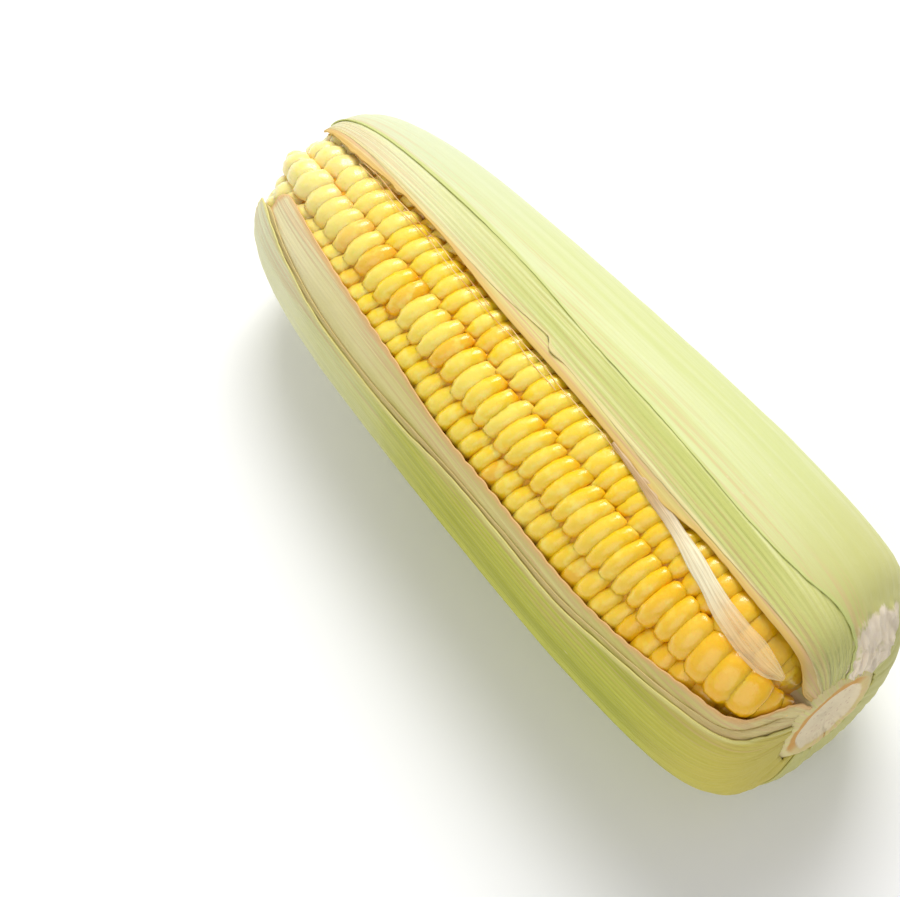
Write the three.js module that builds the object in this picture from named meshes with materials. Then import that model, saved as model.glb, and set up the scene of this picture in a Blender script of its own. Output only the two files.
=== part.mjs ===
// A trimmed ear of sweet corn, lying on its side, with the husk opened along one face.
// Millimetres, +Z up. The cut stem points along +X and the trimmed tip along -X.
// Angles round the ear are in degrees from straight up, and grow towards -Y.
import * as THREE from 'three';

// The husk's outline, from the cut stem to the trimmed tip.
const HUSK_LENGTH = 150;
const HUSK_RADIUS = 29.7;
const TIP_TAPER = 7.3;            // how much thinner the tip is than the belly
const TAPER_START = 0.28;         // the taper begins this far along, stem 0 to tip 1
const TAPER_CURVE = 1.35;
const STEM_SHOULDER = 6.5;        // superellipse powers: a higher one is blunter
const TIP_SHOULDER = 5;

// How the ear lies.
const REST_TILT = 3.2;            // degrees, tip down, because the ear tapers
const PRESSED_FLAT = 1.5;          // how far the underside is squashed where it rests
const PRESS_BLEND = 0.4;          // height over which the flat patch rounds into the side

// The layers, counted inwards from the outline.
const LEAF_THICKNESS = 0.75;
const LEAF_GAP = 0.3;
const INNER_LAYER = 2;            // the outermost leaves lie in layer 0
const KERNEL_CLEARANCE = 0.35;

// The ear.
const KERNEL_ROWS = 18;
const KERNELS_PER_ROW = 40;
const FURROW_DEPTH = 1.9;         // between two rows
const GROOVE_DEPTH = 0.9;         // between two kernels of a row
const ROW_TWIST = 8;              // degrees from the tip to the stem

// The cut stem.
const STEM_RADIUS = 12.5;
const STEM_PROUD = 0.8;
const STEM_CHAMFER = 0.6;

// Small pieces that lie on the kernels.
const SHRED_THICKNESS = 0.5;
const SILK_RADIUS = 0.22;
const SILK_SIDES = 6;
const SILK_STEPS = 14;

// How finely the surfaces are divided.
const OUTLINE_SAMPLES = 400;
const OUTLINE_CROWDING = 4;       // crowds the samples towards the two ends
const STATION_STEP = 20;          // at most this much of the outline's measure between stations
const TURN_WEIGHT = 70;           // millimetres of measure that one radian of turning counts for
const COLUMN_ANGLE = 7;

const HALF_LENGTH = HUSK_LENGTH / 2;
const LAYER_PITCH = LEAF_THICKNESS + LEAF_GAP;
const EAR_DEPTH = INNER_LAYER * LAYER_PITCH + LEAF_THICKNESS + KERNEL_CLEARANCE;
const { clamp, degToRad, lerp, smoothstep } = THREE.MathUtils;

// The value at one of the two ends or between them, bent through a middle value.
function bend(share, atStem, atMiddle, atTip) {
  const stemPart = atStem * (1 - share) * (1 - 2 * share);
  const middlePart = atMiddle * 4 * share * (1 - share);
  return stemPart + middlePart + atTip * share * (2 * share - 1);
}

// ---- Outline of the husk ----

function shareAlong(x) {
  return clamp((HALF_LENGTH - x) / HUSK_LENGTH, 0, 1);
}

function taperedRadius(x) {
  const past = Math.max(0, (shareAlong(x) - TAPER_START) / (1 - TAPER_START));
  return HUSK_RADIUS - TIP_TAPER * past ** TAPER_CURVE;
}

function outlinePoint(side, crowded) {
  const along = 1 - (1 - crowded) ** OUTLINE_CROWDING;
  const power = side > 0 ? STEM_SHOULDER : TIP_SHOULDER;
  const x = side * HALF_LENGTH * along;
  return new THREE.Vector2(x, taperedRadius(x) * (1 - along ** power) ** (1 / power));
}

// Points from the stem's pole to the tip's pole, each with its normal and its measure.
// The measure grows with length and with turning, so equal steps of it follow the curve.
function makeOutline() {
  const points = [];
  for (let i = OUTLINE_SAMPLES; i > 0; i -= 1) {
    points.push(outlinePoint(1, i / OUTLINE_SAMPLES));
  }
  for (let i = 0; i <= OUTLINE_SAMPLES; i += 1) {
    points.push(outlinePoint(-1, i / OUTLINE_SAMPLES));
  }
  const last = points.length - 1;
  let measure = 0;
  let arc = 0;
  let heading = Math.PI / 2;
  return points.map((point, i) => {
    const ahead = points[Math.min(i + 1, last)];
    const behind = points[Math.max(i - 1, 0)];
    const way = ahead.clone().sub(behind).normalize();
    const normal = new THREE.Vector2(way.y, -way.x);
    if (i > 0) {
      const step = point.distanceTo(points[i - 1]);
      const turned = Math.abs(way.angle() - heading);
      arc += step;
      measure += step + TURN_WEIGHT * turned;
    }
    heading = way.angle();
    return { point, normal, arc, measure };
  });
}

const OUTLINE = makeOutline();

// The outline at a value of 'measure' or 'arc', set inwards by a depth.
function outlineAt(key, value, depth) {
  const next = clamp(OUTLINE.findIndex((sample) => sample[key] >= value), 1, OUTLINE.length - 1);
  const [a, b] = [OUTLINE[next - 1], OUTLINE[next]];
  const mix = clamp((value - a[key]) / (b[key] - a[key]), 0, 1);
  const normal = a.normal.clone().lerp(b.normal, mix).normalize();
  return a.point.clone().lerp(b.point, mix).addScaledVector(normal, -depth);
}

function measureAtTipDistance(distance) {
  return OUTLINE.find((sample) => sample.point.x <= distance - HALF_LENGTH).measure;
}

function measureAtStemDistance(distance) {
  return OUTLINE.find((sample) => sample.point.x <= HALF_LENGTH - distance).measure;
}

// ---- The lying pose ----

const TILT = degToRad(REST_TILT);
const LOWEST = Math.min(...OUTLINE.map(({ point }) => point.x * Math.sin(TILT) - point.y * Math.cos(TILT)));
const AXIS_HEIGHT = -LOWEST - PRESSED_FLAT;

// A height above the pressed patch, never below zero, with a rounded change between the two.
function pressed(height) {
  if (Math.abs(height) < PRESS_BLEND) {
    return (height + PRESS_BLEND) ** 2 / (4 * PRESS_BLEND);
  }
  return Math.max(height, 0);
}

// A point of the lying ear. Each layer is pressed flat by its own depth above the table.
function place(x, radius, angle, depth) {
  const turn = degToRad(angle);
  const up = radius * Math.cos(turn);
  const lifted = x * Math.sin(TILT) + up * Math.cos(TILT) + AXIS_HEIGHT;
  return new THREE.Vector3(
    x * Math.cos(TILT) - up * Math.sin(TILT),
    -radius * Math.sin(turn),
    depth + pressed(lifted - depth),
  );
}

function placeOnOutline(key, value, angle, depth) {
  const { x, y } = outlineAt(key, value, depth);
  return place(x, y, angle, depth);
}

// ---- Shared builders ----

function makeMesh(name, geometry, colour, roughness) {
  geometry.computeVertexNormals();
  const material = new THREE.MeshStandardMaterial({ color: colour, roughness, metalness: 0 });
  const mesh = new THREE.Mesh(geometry, material);
  mesh.name = name;
  return mesh;
}

// A unit box whose points are moved by shape(u, v, w), with u, v and w from 0 to 1.
function bendBox(uSteps, vSteps, shape) {
  const geometry = new THREE.BoxGeometry(1, 1, 1, uSteps, vSteps, 1);
  const position = geometry.attributes.position;
  for (let i = 0; i < position.count; i += 1) {
    const u = position.getX(i) + 0.5;
    const v = position.getY(i) + 0.5;
    const w = position.getZ(i) + 0.5;
    position.setXYZ(i, ...shape(u, v, w).toArray());
  }
  return geometry;
}

// ---- The ear: cob and kernels in one piece ----

// Rows are two columns wide, crest and furrow; a kernel is two rings long, crown and groove.
function kernelDepth(column, ring, radius) {
  const size = radius / HUSK_RADIUS;
  if (column % 2 === 1) {
    return FURROW_DEPTH * size;
  }
  const isGroove = (ring + column / 2) % 2 === 1;
  return isGroove ? GROOVE_DEPTH * size : 0;
}

function makeEar() {
  const columns = KERNEL_ROWS * 2;
  const rings = KERNELS_PER_ROW * 2;
  const fullArc = OUTLINE[OUTLINE.length - 1].arc;
  const geometry = new THREE.SphereGeometry(1, columns, rings);
  const position = geometry.attributes.position;
  for (let i = 0; i < position.count; i += 1) {
    const column = (i % (columns + 1)) % columns;
    const ring = Math.floor(i / (columns + 1));
    const value = (ring / rings) * fullArc;
    const crown = outlineAt('arc', value, EAR_DEPTH);
    const depth = EAR_DEPTH + kernelDepth(column, ring, crown.y);
    const angle = (360 * column) / columns - ROW_TWIST * shareAlong(crown.x);
    const isPole = ring === 0 || ring === rings;
    const point = isPole ? place(crown.x, 0, 0, depth) : placeOnOutline('arc', value, angle, depth);
    position.setXYZ(i, ...point.toArray());
  }
  return makeMesh('ear', geometry, 0xf2cc42, 0.35);
}

// ---- The cut stem ----

function makeStem() {
  const inner = HALF_LENGTH - EAR_DEPTH + LEAF_GAP;
  const face = HALF_LENGTH + STEM_PROUD;
  const profile = [
    new THREE.Vector2(0, inner),
    new THREE.Vector2(STEM_RADIUS, inner),
    new THREE.Vector2(STEM_RADIUS, face - STEM_CHAMFER),
    new THREE.Vector2(STEM_RADIUS - STEM_CHAMFER, face),
    new THREE.Vector2(0, face),
  ];
  const stem = makeMesh('stem', new THREE.LatheGeometry(profile, 40), 0xded6c4, 0.7);
  stem.geometry.rotateZ(-Math.PI / 2);
  stem.rotation.y = -TILT;
  stem.position.z = AXIS_HEIGHT;
  return stem;
}

// ---- The husk leaves ----

const RIM_MEASURE = OUTLINE.find((sample) => sample.point.y >= STEM_RADIUS + LEAF_GAP).measure;
const LAST_MEASURE = OUTLINE[OUTLINE.length - 1].measure;

// Every leaf is divided at the same stations, so that the layers stay parallel.
function stationsUpTo(end) {
  const step = (LAST_MEASURE - RIM_MEASURE) / Math.ceil((LAST_MEASURE - RIM_MEASURE) / STATION_STEP);
  const stations = [];
  for (let i = 0; RIM_MEASURE + i * step < end - step / 10; i += 1) {
    stations.push(RIM_MEASURE + i * step);
  }
  return stations;
}

// low and high are the leaf's two edges; layerAt tells how deep it lies at an angle.
function makeLeaf({ name, colour, low, high, layerAt, tipLow, tipHigh }) {
  const tips = [measureAtTipDistance(tipLow), measureAtTipDistance(tipHigh)];
  const stations = stationsUpTo(Math.min(...tips));
  const widest = high(0.5) - low(0.5);
  const columns = Math.ceil(widest / COLUMN_ANGLE);
  const shape = (u, v, w) => {
    const row = Math.round(u * stations.length);
    const measure = row < stations.length ? stations[row] : lerp(tips[0], tips[1], v);
    const share = shareAlong(outlineAt('measure', measure, 0).x);
    const angle = lerp(low(share), high(share), v);
    const depth = layerAt(angle) * LAYER_PITCH + (1 - w) * LEAF_THICKNESS;
    return placeOnOutline('measure', measure, angle, depth);
  };
  return makeMesh(name, bendBox(stations.length, columns, shape), colour, 0.6);
}

// The edges that frame the opening, from the stem (0) to the tip (1).
const rightInnerEdge = (share) => bend(share, 10.5, 4.5, -8.5);
const rightRibbedEdge = (share) => bend(share, 7.5, 0, -11);
const rightOuterEdge = (share) => bend(share, -10.5, -14.5, -25);
const leftInnerEdge = (share) => bend(share, 51, 55.5, 33);
const leftMiddleEdge = (share) => bend(share, 54.5, 61, 44);
const leftOuterEdge = (share) => bend(share, 58, 68, 56);

const LEAVES = [
  {
    name: 'husk_right_outer',
    colour: 0xdfe8bb,
    low: () => -215,
    high: rightOuterEdge,
    layerAt: () => 0,
    tipLow: 5,
    tipHigh: 3.5,
  },
  {
    name: 'husk_right_ribbed',
    colour: 0xd7e4a0,
    low: () => -175,
    high: rightRibbedEdge,
    layerAt: (angle) => 1 + smoothstep(-angle, 134, 146),
    tipLow: 6,
    tipHigh: 4.5,
  },
  {
    name: 'husk_right_inner',
    colour: 0xecd9ac,
    low: () => -125,
    high: rightInnerEdge,
    layerAt: () => INNER_LAYER,
    tipLow: 4,
    tipHigh: 3,
  },
  {
    name: 'husk_left_outer',
    colour: 0xcdd46e,
    low: leftOuterEdge,
    high: () => 205,
    layerAt: (angle) => smoothstep(angle, 130, 143),
    tipLow: 9,
    tipHigh: 6,
  },
  {
    name: 'husk_left_middle',
    colour: 0xcbcf86,
    low: leftMiddleEdge,
    high: () => 128,
    layerAt: () => 1,
    tipLow: 9.5,
    tipHigh: 6,
  },
  {
    name: 'husk_left_inner',
    colour: 0xcdcd96,
    low: leftInnerEdge,
    high: () => 182,
    layerAt: () => INNER_LAYER,
    tipLow: 10,
    tipHigh: 7,
  },
];

// ---- The torn strip of inner husk on the kernels ----

const SHRED_START = 3;            // millimetres from the stem end
const SHRED_END = 41;
const SHRED_STEPS = 9;
const SHRED_COLUMNS = 2;

function makeShred() {
  const start = measureAtStemDistance(SHRED_START);
  const end = measureAtStemDistance(SHRED_END);
  const outerDepth = EAR_DEPTH - KERNEL_CLEARANCE - SHRED_THICKNESS;
  const shape = (u, v, w) => {
    const middle = bend(u, 25.5, 20, 13);
    const halfWidth = bend(u, 3, 4, 1.9);
    const angle = middle + (2 * v - 1) * halfWidth;
    return placeOnOutline('measure', lerp(start, end, u), angle, outerDepth + (1 - w) * SHRED_THICKNESS);
  };
  return makeMesh('husk_shred', bendBox(SHRED_STEPS, SHRED_COLUMNS, shape), 0xecd8a0, 0.5);
}

// ---- The silk threads in the furrow beside the right-hand edge ----

// Each runs between two distances from the stem, a few degrees off the leaf's edge.
const SILKS = [
  { from: 92, to: 139, offset: 1.8, wave: 0.5 },
  { from: 70, to: 134, offset: 4.2, wave: 0.6 },
  { from: 44, to: 86, offset: 1.8, wave: 0.4 },
];
const SILK_POINTS = 8;

function makeSilk({ from, to, offset, wave }, number) {
  const depth = EAR_DEPTH - KERNEL_CLEARANCE - SILK_RADIUS;
  const start = measureAtStemDistance(from);
  const end = measureAtStemDistance(to);
  const points = [];
  for (let i = 0; i <= SILK_POINTS; i += 1) {
    const measure = lerp(start, end, i / SILK_POINTS);
    const edge = rightInnerEdge(shareAlong(outlineAt('measure', measure, 0).x));
    const angle = edge + offset + wave * Math.sin(i);
    points.push(placeOnOutline('measure', measure, angle, depth));
  }
  const section = new THREE.Shape();
  for (let i = 0; i < SILK_SIDES; i += 1) {
    const turn = (2 * Math.PI * i) / SILK_SIDES;
    const corner = [SILK_RADIUS * Math.cos(turn), SILK_RADIUS * Math.sin(turn)];
    if (i === 0) {
      section.moveTo(...corner);
    } else {
      section.lineTo(...corner);
    }
  }
  const extrudePath = new THREE.CatmullRomCurve3(points);
  const geometry = new THREE.ExtrudeGeometry(section, { steps: SILK_STEPS, extrudePath });
  return makeMesh(`silk_thread_${number + 1}`, geometry, 0xe9b46c, 0.5);
}

// ---- The whole ear, with the middle of its box over the origin ----

const lying = new THREE.Group();
lying.add(makeEar(), makeStem(), ...LEAVES.map(makeLeaf), makeShred(), ...SILKS.map(makeSilk));
lying.updateMatrixWorld(true);
const middle = new THREE.Box3().setFromObject(lying, true).getCenter(new THREE.Vector3());
lying.position.set(-middle.x, -middle.y, 0);

const corn = new THREE.Group();
corn.add(lying);

export default corn;
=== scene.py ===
"""A trimmed ear of sweet corn, lying on its side with the husk opened along one face.

Metres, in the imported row's frame: the cut stem points along +X, the tip along -X, and Z is up.
Angles round the ear are in degrees from straight up, and grow towards -Y.
"""
import logging
import math
import random
from bisect import bisect_right
from dataclasses import dataclass, field
from enum import Enum

import bmesh
import bpy
from mathutils import Matrix, Vector, noise


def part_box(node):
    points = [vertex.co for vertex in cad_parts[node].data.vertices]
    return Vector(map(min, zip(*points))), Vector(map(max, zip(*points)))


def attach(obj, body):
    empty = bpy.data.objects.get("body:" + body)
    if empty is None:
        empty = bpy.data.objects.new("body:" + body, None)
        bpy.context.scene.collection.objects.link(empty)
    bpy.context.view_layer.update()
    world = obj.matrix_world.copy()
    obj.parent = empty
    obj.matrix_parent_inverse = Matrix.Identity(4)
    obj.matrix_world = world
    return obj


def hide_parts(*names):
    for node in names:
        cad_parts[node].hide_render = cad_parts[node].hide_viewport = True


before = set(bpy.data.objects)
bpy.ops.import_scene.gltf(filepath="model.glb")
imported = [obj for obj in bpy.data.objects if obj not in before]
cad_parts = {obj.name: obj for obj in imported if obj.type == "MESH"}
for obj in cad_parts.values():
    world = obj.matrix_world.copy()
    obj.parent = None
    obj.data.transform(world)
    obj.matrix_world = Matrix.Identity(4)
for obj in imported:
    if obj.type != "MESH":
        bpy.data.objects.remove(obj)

LOG = logging.getLogger("corn")
MM = 0.001
MERGE = 0.02 * MM

Colour = tuple[float, float, float]
Span = tuple[float, float]
Stops = tuple[Span, ...]


# ---------------------------------------------------------------- numbers and curves


def clamp(value: float, low: float = 0.0, high: float = 1.0) -> float:
    """Return value held between low and high."""
    return max(low, min(high, value))


def ease(value: float, start: float, end: float) -> float:
    """Blend smoothly from 0 to 1.

    Args:
        value: where to read the blend.
        start: where it leaves 0.
        end: where it reaches 1; it may be lower than start.

    Returns:
        The blend, from 0 to 1.
    """
    mix = clamp((value - start) / (end - start))
    return mix * mix * (3 - 2 * mix)


def through(stops: Stops, at: float) -> float:
    """Read a smooth curve that passes through a few stops.

    Args:
        stops: (place, value) pairs in rising order of place.
        at: the place to read.

    Returns:
        The curve's value, level beyond the first and last stops.
    """
    if at <= stops[0][0]:
        return stops[0][1]
    if at >= stops[-1][0]:
        return stops[-1][1]
    after = next(i for i, stop in enumerate(stops) if stop[0] >= at)
    picks = [stops[min(max(i, 0), len(stops) - 1)] for i in range(after - 2, after + 2)]
    (x0, y0), (x1, y1), (x2, y2), (x3, y3) = picks
    slope_in = (y2 - y0) / (x2 - x0)
    slope_out = (y3 - y1) / (x3 - x1)
    width = x2 - x1
    t = (at - x1) / width
    bend_in = (2 * t**3 - 3 * t**2 + 1) * y1 + (t**3 - 2 * t**2 + t) * width * slope_in
    return bend_in + (-2 * t**3 + 3 * t**2) * y2 + (t**3 - t**2) * width * slope_out


def wander(x: float, y: float = 0.0, z: float = 0.0) -> float:
    """Return smooth noise between about -1 and 1."""
    return noise.noise(Vector((x, y, z)))


# ---------------------------------------------------------------- the husk's outline


@dataclass
class Station:
    """One sample of the outline: its place, its outward normal and its distance along."""

    x: float
    radius: float
    out_x: float
    out_r: float
    arc: float


@dataclass
class Outline:
    """The ear's outline in a plane through its axis, and how the ear lies on the table."""

    length: float = 150 * MM
    belly: float = 29.7 * MM
    taper: float = 7.3 * MM
    taper_start: float = 0.28
    taper_curve: float = 1.35
    stem_shoulder: float = 6.5
    tip_shoulder: float = 5.0
    tilt: float = math.radians(3.2)
    pressed: float = 1.5 * MM
    press_blend: float = 0.4 * MM
    layer_pitch: float = 0.45 * MM
    ear_depth: float = 1.6 * MM
    open_lift: float = 0.55 * MM
    tip_lift: float = 0.8 * MM
    shoulder_tuck: float = 1.5 * MM
    tuck_span: Span = (0.12, 0.04)
    tip_span: Span = (0.86, 0.97)
    window_middle: float = 32.0
    window_lean: float = -17.0
    window_end: float = 26.0
    window_full: float = 15.0
    narrow_span: Span = (0.07, 0.02)
    narrow_shift: float = -4.0
    narrowing: float = 7.5
    sag: float = 3.2 * MM
    sag_span: Span = (0.09, 0.0)
    sag_radii: Span = (14 * MM, 27 * MM)
    sag_angle: float = -72.0
    sag_spread: Span = (75.0, 15.0)
    knob_span: Span = (0.026, 0.008)
    knob_angle: float = -40.0
    knob_spread: Span = (30.0, 15.0)
    stem_radius: float = 12.5 * MM
    stem_proud: float = 0.8 * MM
    stem_chamfer: float = 0.6 * MM
    samples: int = 400
    crowding: int = 4
    stations: list[Station] = field(default_factory=list)
    arcs: list[float] = field(default_factory=list)
    axis_height: float = 0.0
    shift: float = 0.0

    def __post_init__(self) -> None:
        """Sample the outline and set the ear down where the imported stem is."""
        points = [self._raw(1, i / self.samples) for i in range(self.samples, 0, -1)]
        points += [self._raw(-1, i / self.samples) for i in range(self.samples + 1)]
        arc = 0.0
        for i, (x, radius) in enumerate(points):
            (xa, ra), (xb, rb) = points[max(i - 1, 0)], points[min(i + 1, len(points) - 1)]
            span = math.hypot(xb - xa, rb - ra)
            arc += math.hypot(x - xa, radius - ra)
            self.stations.append(Station(x, radius, (rb - ra) / span, -(xb - xa) / span, arc))
            self.arcs.append(arc)
        sine, cosine = math.sin(self.tilt), math.cos(self.tilt)
        self.axis_height = -min(s.x * sine - s.radius * cosine for s in self.stations) - self.pressed
        face = self.length / 2 + self.stem_proud
        stem_reach = face * cosine + (self.stem_radius - self.stem_chamfer) * sine
        self.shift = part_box("stem")[1].x - stem_reach

    def _raw(self, side: int, crowded: float) -> tuple[float, float]:
        """Work out one point of the outline.

        Args:
            side: 1 for the stem half, -1 for the tip half.
            crowded: 0 at the middle to 1 at the pole, crowded towards the pole.

        Returns:
            The point's place along the axis and its radius.
        """
        along = 1 - (1 - crowded) ** self.crowding
        power = self.stem_shoulder if side > 0 else self.tip_shoulder
        x = side * self.length / 2 * along
        past = max(0.0, (self.share(x) - self.taper_start) / (1 - self.taper_start))
        tapered = self.belly - self.taper * past**self.taper_curve
        return x, tapered * (1 - along**power) ** (1 / power)

    def crown_depth(self, share: float, angle: float) -> float:
        """Find how deep the kernels' crowns lie; they swell a little in the husk's opening.

        Args:
            share: how far along the ear, from the stem to the tip.
            angle: degrees round the ear.

        Returns:
            The depth under the outline.
        """
        near_stem = ease(share, *self.narrow_span)
        middle = self.window_middle + self.window_lean * share + self.narrow_shift * near_stem
        narrowed = self.narrowing * near_stem
        swell = ease(abs(angle - middle), self.window_end - narrowed, self.window_full - narrowed)
        tucked = self.shoulder_tuck * ease(share, *self.tuck_span) * (1 - swell)
        lifted = swell * (self.open_lift + self.tip_lift * ease(share, *self.tip_span))
        return self.ear_depth + tucked - lifted

    def share(self, x: float) -> float:
        """Return how far along a place is, from the stem (0) to the tip (1)."""
        return clamp((self.length / 2 - x) / self.length)

    def at(self, arc: float) -> Station:
        """Find the outline at a distance along it.

        Args:
            arc: metres along the outline from the stem's pole.

        Returns:
            The station there, between two samples.
        """
        high = min(max(bisect_right(self.arcs, arc), 1), len(self.stations) - 1)
        a, b = self.stations[high - 1], self.stations[high]
        mix = clamp((arc - a.arc) / (b.arc - a.arc))
        out_x = a.out_x + (b.out_x - a.out_x) * mix
        out_r = a.out_r + (b.out_r - a.out_r) * mix
        size = math.hypot(out_x, out_r)
        radius = a.radius + (b.radius - a.radius) * mix
        return Station(a.x + (b.x - a.x) * mix, radius, out_x / size, out_r / size, arc)

    def arc_where(self, stem_side: bool, radius: float) -> float:
        """Find where the outline has a radius, at the stem's end or at the tip's.

        Args:
            stem_side: whether to look from the stem's pole rather than the tip's.
            radius: the radius looked for.

        Returns:
            The distance along the outline from the stem's pole.
        """
        walk = self.stations if stem_side else self.stations[::-1]
        return next(s.arc for s in walk if s.radius >= radius)

    def arc_at_share(self, share: float) -> float:
        """Return the distance along the outline at a share of the length from the stem."""
        return next((s.arc for s in self.stations if self.share(s.x) >= share), self.stations[-1].arc)

    def lay(self, x: float, radius: float, angle: float, depth: float) -> Vector:
        """Turn ear coordinates into a point of the lying ear.

        Args:
            x: place along the axis.
            radius: distance from the axis.
            angle: degrees from straight up, towards -Y.
            depth: how deep under the outline the point counts as lying, for the pressed underside.

        Returns:
            The point in the row frame.
        """
        turn = math.radians(angle)
        up = radius * math.cos(turn)
        sine, cosine = math.sin(self.tilt), math.cos(self.tilt)
        height = x * sine + up * cosine + self.axis_height - depth
        if abs(height) < self.press_blend:
            height = (height + self.press_blend) ** 2 / (4 * self.press_blend)
        flat_x = x * cosine - up * sine + self.shift
        return Vector((flat_x, -radius * math.sin(turn), depth + max(height, 0.0)))

    def slump(self, x: float, radius: float, angle: float) -> float:
        """Find how far the stem end's upper right shoulder has slumped.

        Args:
            x: place along the axis.
            radius: distance from the axis.
            angle: degrees round the ear.

        Returns:
            How far the surface sits back from the outline, along the axis.
        """
        near_end = ease(self.share(x), *self.sag_span) * ease(radius, *self.sag_radii)
        return self.sag * near_end * ease(abs(angle - self.sag_angle), *self.sag_spread)

    def knob(self, x: float, angle: float) -> float:
        """Return 1 on the wrinkled leaf bases at the stem end's shoulder, fading to 0 round them."""
        return ease(self.share(x), *self.knob_span) * ease(abs(angle - self.knob_angle), *self.knob_spread)

    def point(self, arc: float, angle: float, depth: float) -> Vector:
        """Find a point on or under the outline.

        Args:
            arc: distance along the outline from the stem's pole.
            angle: degrees round the ear.
            depth: how deep under the outline.

        Returns:
            The point in the row frame.
        """
        s = self.at(arc)
        x = s.x - s.out_x * depth - self.slump(s.x, s.radius, angle)
        return self.lay(x, max(s.radius - s.out_r * depth, 0.0), angle, max(depth, 0.0))


# ---------------------------------------------------------------- shader maths


class Value:
    """A shader socket that can be added, multiplied and so on like a number."""

    def __init__(self, shader: "Shader", socket: bpy.types.NodeSocket) -> None:
        """Keep the socket and the shader that it belongs to."""
        self.shader = shader
        self.socket = socket

    def _math(self, operation: str, a: "Value | float", b: "Value | float") -> "Value":
        """Return the result of one Math node."""
        return self.shader.node("ShaderNodeMath", {"operation": operation}, {0: a, 1: b})

    def __add__(self, other: "Value | float") -> "Value":
        """Return self + other."""
        return self._math("ADD", self, other)

    def __radd__(self, other: float) -> "Value":
        """Return other + self."""
        return self._math("ADD", other, self)

    def __sub__(self, other: "Value | float") -> "Value":
        """Return self - other."""
        return self._math("SUBTRACT", self, other)

    def __rsub__(self, other: float) -> "Value":
        """Return other - self."""
        return self._math("SUBTRACT", other, self)

    def __mul__(self, other: "Value | float") -> "Value":
        """Return self * other."""
        return self._math("MULTIPLY", self, other)

    def __rmul__(self, other: float) -> "Value":
        """Return other * self."""
        return self._math("MULTIPLY", other, self)


class Shader:
    """Builds one material's node tree around its Principled shader."""

    def __init__(self, name: str) -> None:
        """Start an empty material with a Principled shader on its output.

        Args:
            name: the material's name.
        """
        self.material = bpy.data.materials.new(name)
        self.material.use_nodes = True
        self.tree = self.material.node_tree
        self.surface = self.tree.nodes["Principled BSDF"]

    def node(
        self, kind: str, settings: dict | None = None, inputs: dict | None = None, out: int | str = 0
    ) -> Value:
        """Add a node.

        Args:
            kind: the node's type.
            settings: attributes to set before the inputs.
            inputs: values or links, by socket name or number.
            out: the output socket to give back.

        Returns:
            The chosen output, wrapped.
        """
        made = self.tree.nodes.new(kind)
        for key, value in (settings or {}).items():
            setattr(made, key, value)
        for key, value in (inputs or {}).items():
            self._feed(made.inputs[key], value)
        return Value(self, made.outputs[out])

    def _feed(self, socket: bpy.types.NodeSocket, value: "Value | float | tuple") -> None:
        """Link a wrapped socket to an input, or set the input's own value.

        Args:
            socket: the input.
            value: what it is fed.
        """
        if isinstance(value, Value):
            self.tree.links.new(value.socket, socket)
        elif socket.type == "RGBA":
            socket.default_value = (*value, 1.0)
        else:
            socket.default_value = value

    def set(self, name: str, value: "Value | float | tuple") -> None:
        """Set or link one input of the Principled shader."""
        self._feed(self.surface.inputs[name], value)

    def attribute(self, name: str) -> Value:
        """Return a number stored on the piece's vertices."""
        return self.node("ShaderNodeAttribute", {"attribute_name": name}, out="Fac")

    def place(self) -> Value:
        """Return the Object coordinates."""
        return self.node("ShaderNodeTexCoord", out="Object")

    def vector(self, x: "Value | float", y: "Value | float", z: "Value | float" = 0.0) -> Value:
        """Return a vector made of three numbers."""
        return self.node("ShaderNodeCombineXYZ", inputs={0: x, 1: y, 2: z})

    def noise(self, where: Value, scale: float, detail: float = 3.0, rough: float = 0.5) -> Value:
        """Return fractal noise from about 0 to 1."""
        inputs = {"Vector": where, "Scale": scale, "Detail": detail, "Roughness": rough}
        return self.node("ShaderNodeTexNoise", inputs=inputs)

    def cells(self, where: Value, scale: float) -> Value:
        """Return the distance to the nearest of a scatter of points."""
        return self.node("ShaderNodeTexVoronoi", inputs={"Vector": where, "Scale": scale}, out="Distance")

    def ramp(self, value: Value, low: float, high: float, start: float = 0.0, end: float = 1.0) -> Value:
        """Map a range to another, smoothly and held at both ends.

        Args:
            value: the number to map.
            low: the value that gives start.
            high: the value that gives end.
            start: the result at low.
            end: the result at high.

        Returns:
            The mapped number.
        """
        settings = {"interpolation_type": "SMOOTHSTEP"}
        return self.node("ShaderNodeMapRange", settings, {0: value, 1: low, 2: high, 3: start, 4: end})

    def mix(self, amount: "Value | float", a: "Value | Colour", b: "Value | Colour") -> Value:
        """Return a colour between two."""
        settings = {"data_type": "RGBA"}
        return self.node("ShaderNodeMix", settings, {0: amount, 6: a, 7: b}, out=2)

    def bump(self, height: Value, strength: float, distance: float) -> None:
        """Feed a height to the shader's normal through a Bump node."""
        inputs = {"Strength": strength, "Distance": distance, "Height": height}
        self.set("Normal", self.node("ShaderNodeBump", inputs=inputs))


def paint(red: int, green: int, blue: int) -> Colour:
    """Return the linear colour of a paint mixed in 0 to 255 display steps."""
    steps = (red, green, blue)
    return tuple((c / 255 / 12.92) if c <= 10 else ((c / 255 + 0.055) / 1.055) ** 2.4 for c in steps)


# ---------------------------------------------------------------- finishes


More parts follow.
